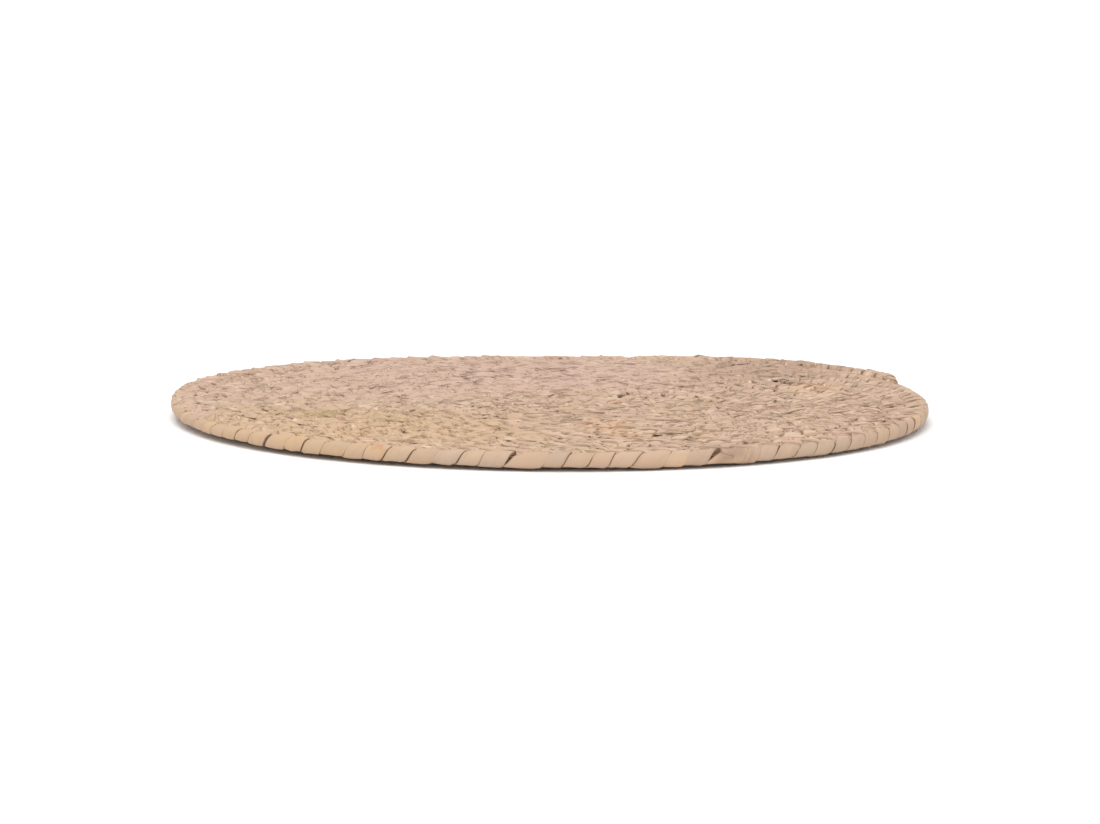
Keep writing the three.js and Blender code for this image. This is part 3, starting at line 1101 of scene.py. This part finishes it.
def make_inner_leaves():
    """A closed disc: rings of points on its upper side, the same on its lower side, joined at the edge.

    At a share s of the way to the edge it is half * root of (1 - s^30) thick to each side of the
    plait's middle, and less in the gaps.
    """
    angle = 2 * math.pi * np.arange(SPOKES) / SPOKES
    last_row = LAST_ROW - 1 + np.mod((TAIL_ANGLE - angle) / (2 * math.pi), 1)
    length = length_at(last_row)
    edge = middle_of_plait(last_row, length) + INNER_EDGE * plait_width_share(length)
    share = np.linspace(1 / RINGS, 1, RINGS)[:, None]
    radius = share * edge[None, :]
    angle = np.broadcast_to(angle, radius.shape)
    half = INNER_HALF * np.sqrt(np.clip(1 - share**INNER_ROUNDNESS, 0, 1))
    half = half * (1 - INNER_GAP_DEPTH * gaping(radius, angle))
    across = [radius * np.cos(angle), radius * np.sin(angle)]
    sides = [np.stack([*across, height_in_mat(radius, angle, side * half)], 2) for side in (1, -1)]
    middles = [[0, 0, THICKNESS / 2 + side * half[0, 0]] for side in (1, -1)]
    points = np.concatenate([*(side.reshape(-1, 3) for side in sides), middles]) + np.array(EYE)
    made = mesh_object("inner_leaves", points, disc_faces(RINGS, SPOKES), shaded_leaf)
    point_attribute(made, "along", np.hypot(points[:, 0], points[:, 1]))
    point_attribute(made, "around", np.arctan2(points[:, 1], points[:, 0]))
    return made


inner_leaves = make_inner_leaves()
print("inner leaves:", len(inner_leaves.data.polygons), "faces")

# %% [markdown]
# Where a new leaf was fed into the plait, its end stays loose. Such ends are thin flat slivers that lie
# along the strands, and their tips curl up by a millimetre or two. They are many and small, so they are
# made together as one mesh, each from a few small ovals. A few that stand out in the photograph are
# listed one by one.

# %% Loose leaf ends
LOOSE_ENDS = 420
# Ends that stand out in the photograph: distance from the eye, angle in degrees, direction in degrees
# from the plait's run, length, width and how high the tip stands.
PLACED_ENDS = (
    (135 * MM, 34.5, 57, 11 * MM, 7 * MM, 2.4 * MM),
    (138 * MM, 36, 40, 8 * MM, 4 * MM, 1.6 * MM),
    (149 * MM, -139, 30, 8 * MM, 3 * MM, 1.2 * MM),
    (141 * MM, -96.5, 0, 9 * MM, 3 * MM, 1.0 * MM),
    (124 * MM, -68, 40, 8 * MM, 3 * MM, 1.2 * MM),
    (168 * MM, -26, -30, 8 * MM, 3 * MM, 1.4 * MM),
)
# The others are drawn at random, between these bounds.
END_ROWS = (1, LAST_ROW - 1.3)
END_SIDEWAYS = 4  # to both sides of the plait's middle, in mm
END_LENGTHS = (5, 13)  # in mm
END_WIDTHS = (0.5, 1.6)  # in mm
END_RISE, END_RISE_MOST = 0.45, 1.1  # usual and greatest height of the tip, in mm
END_TURN, END_TURN_SPREAD = 0.5, 0.45  # usual turn away from the plait's run, and its spread, in radians
END_STATIONS, END_AROUND = 6, 6
END_HALF_THICK = 0.16 * MM
END_TAPER = 0.8  # share of its width that an end has lost at its tip
ROOT_SUNK, TIP_SUNK = 0.25 * MM, 0.1 * MM  # how deep the root lies, and how much deeper a flat tip
PATTERN_LENGTH = 9  # the ends read the leaf pattern at random within this length, in metres


def place_in_plait(radius, degrees):
    """Length of plait and place sideways in it at a distance from the eye and an angle round it."""
    share = (TAIL_ANGLE - math.radians(degrees)) / (2 * math.pi)
    row = share + round(radius / ROW_WIDTH - LAST_ROW - share) + LAST_ROW
    return float(length_at(row)), radius - ROW_WIDTH * row


def draw_ends(count, generator):
    """Start, place sideways, turn, length, width and rise of every end, the placed ones first."""
    start = length_at(np.sqrt(generator.uniform(END_ROWS[0] ** 2, END_ROWS[1] ** 2, count)))
    side = generator.uniform(-END_SIDEWAYS, END_SIDEWAYS, count) * MM
    turned = generator.normal(0, END_TURN_SPREAD, count) + np.where(side > 0, END_TURN, -END_TURN)
    reach = generator.uniform(*END_LENGTHS, count) * MM
    width = generator.uniform(*END_WIDTHS, count) * MM
    rise = np.minimum(generator.exponential(END_RISE, count), END_RISE_MOST) * MM
    for i, (radius, degrees, towards, long, wide, high) in enumerate(PLACED_ENDS):
        start[i], side[i] = place_in_plait(radius, degrees)
        turned[i], reach[i], width[i], rise[i] = math.radians(towards), long, wide, high
    return [values[:, None] for values in (start, side, turned, reach, width, rise)]


def end_faces(count):
    """Faces of all the ends: quads from each oval to the next, and one face at every root and tip."""
    per_end = END_STATIONS * END_AROUND
    station = np.arange(END_STATIONS - 1) * END_AROUND
    first = np.arange(count)[:, None, None] * per_end + station[None, :, None]
    here = first + np.arange(END_AROUND)
    beside = first + (np.arange(END_AROUND) + 1) % END_AROUND
    quads = np.stack([here, beside, beside + END_AROUND, here + END_AROUND], 3).reshape(-1, 4)
    roots = np.arange(count)[:, None] * per_end + np.arange(END_AROUND)
    return quads.tolist() + roots[:, ::-1].tolist() + (roots + per_end - END_AROUND).tolist()


def make_loose_ends(count, generator):
    """Slivers on the upper side: t runs from root to tip, the tip is lifted by rise * t^2 and narrows."""
    t = np.linspace(0, 1, END_STATIONS)[None, :]
    start, side, turned, reach, width, rise = draw_ends(count, generator)
    width = width * (1 - END_TAPER * t**2)
    x, y = oval(END_AROUND, 2)
    across = x[None, None, :] * width[:, :, None] / 2
    along = (start + reach * t * np.cos(turned))[:, :, None] - across * np.sin(turned)[:, :, None]
    sideways = (side + reach * t * np.sin(turned))[:, :, None] + across * np.cos(turned)[:, :, None]
    height = THICKNESS / 2 - ROOT_SUNK + rise * t**2 - TIP_SUNK * t
    height = height[:, :, None] + y[None, None, :] * END_HALF_THICK
    points = lay_in_coil(along, sideways, height).reshape(-1, 3) + np.array(EYE)
    made = mesh_object("loose_leaf_ends", points, end_faces(count), leaf)
    pattern = generator.uniform(0, PATTERN_LENGTH, count)[:, None, None] + 10 * MM * t[:, :, None]
    point_attribute(made, "along", np.broadcast_to(pattern, across.shape))
    point_attribute(made, "around", np.broadcast_to(np.arange(END_AROUND) / END_AROUND, across.shape))
    return made


loose_ends = make_loose_ends(LOOSE_ENDS, np.random.default_rng(5))
print("loose leaf ends:", LOOSE_ENDS, "with", len(loose_ends.data.polygons), "faces")

# %% [markdown]
# Every piece is now tied to the frame. Nothing on the mat moves, so all of it rides on the frame's
# single body.

# %% Tie to the frame
pieces = [*strands, inner_leaves, loose_ends]
for piece in pieces:
    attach(piece, "root")
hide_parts("plaited_mat")
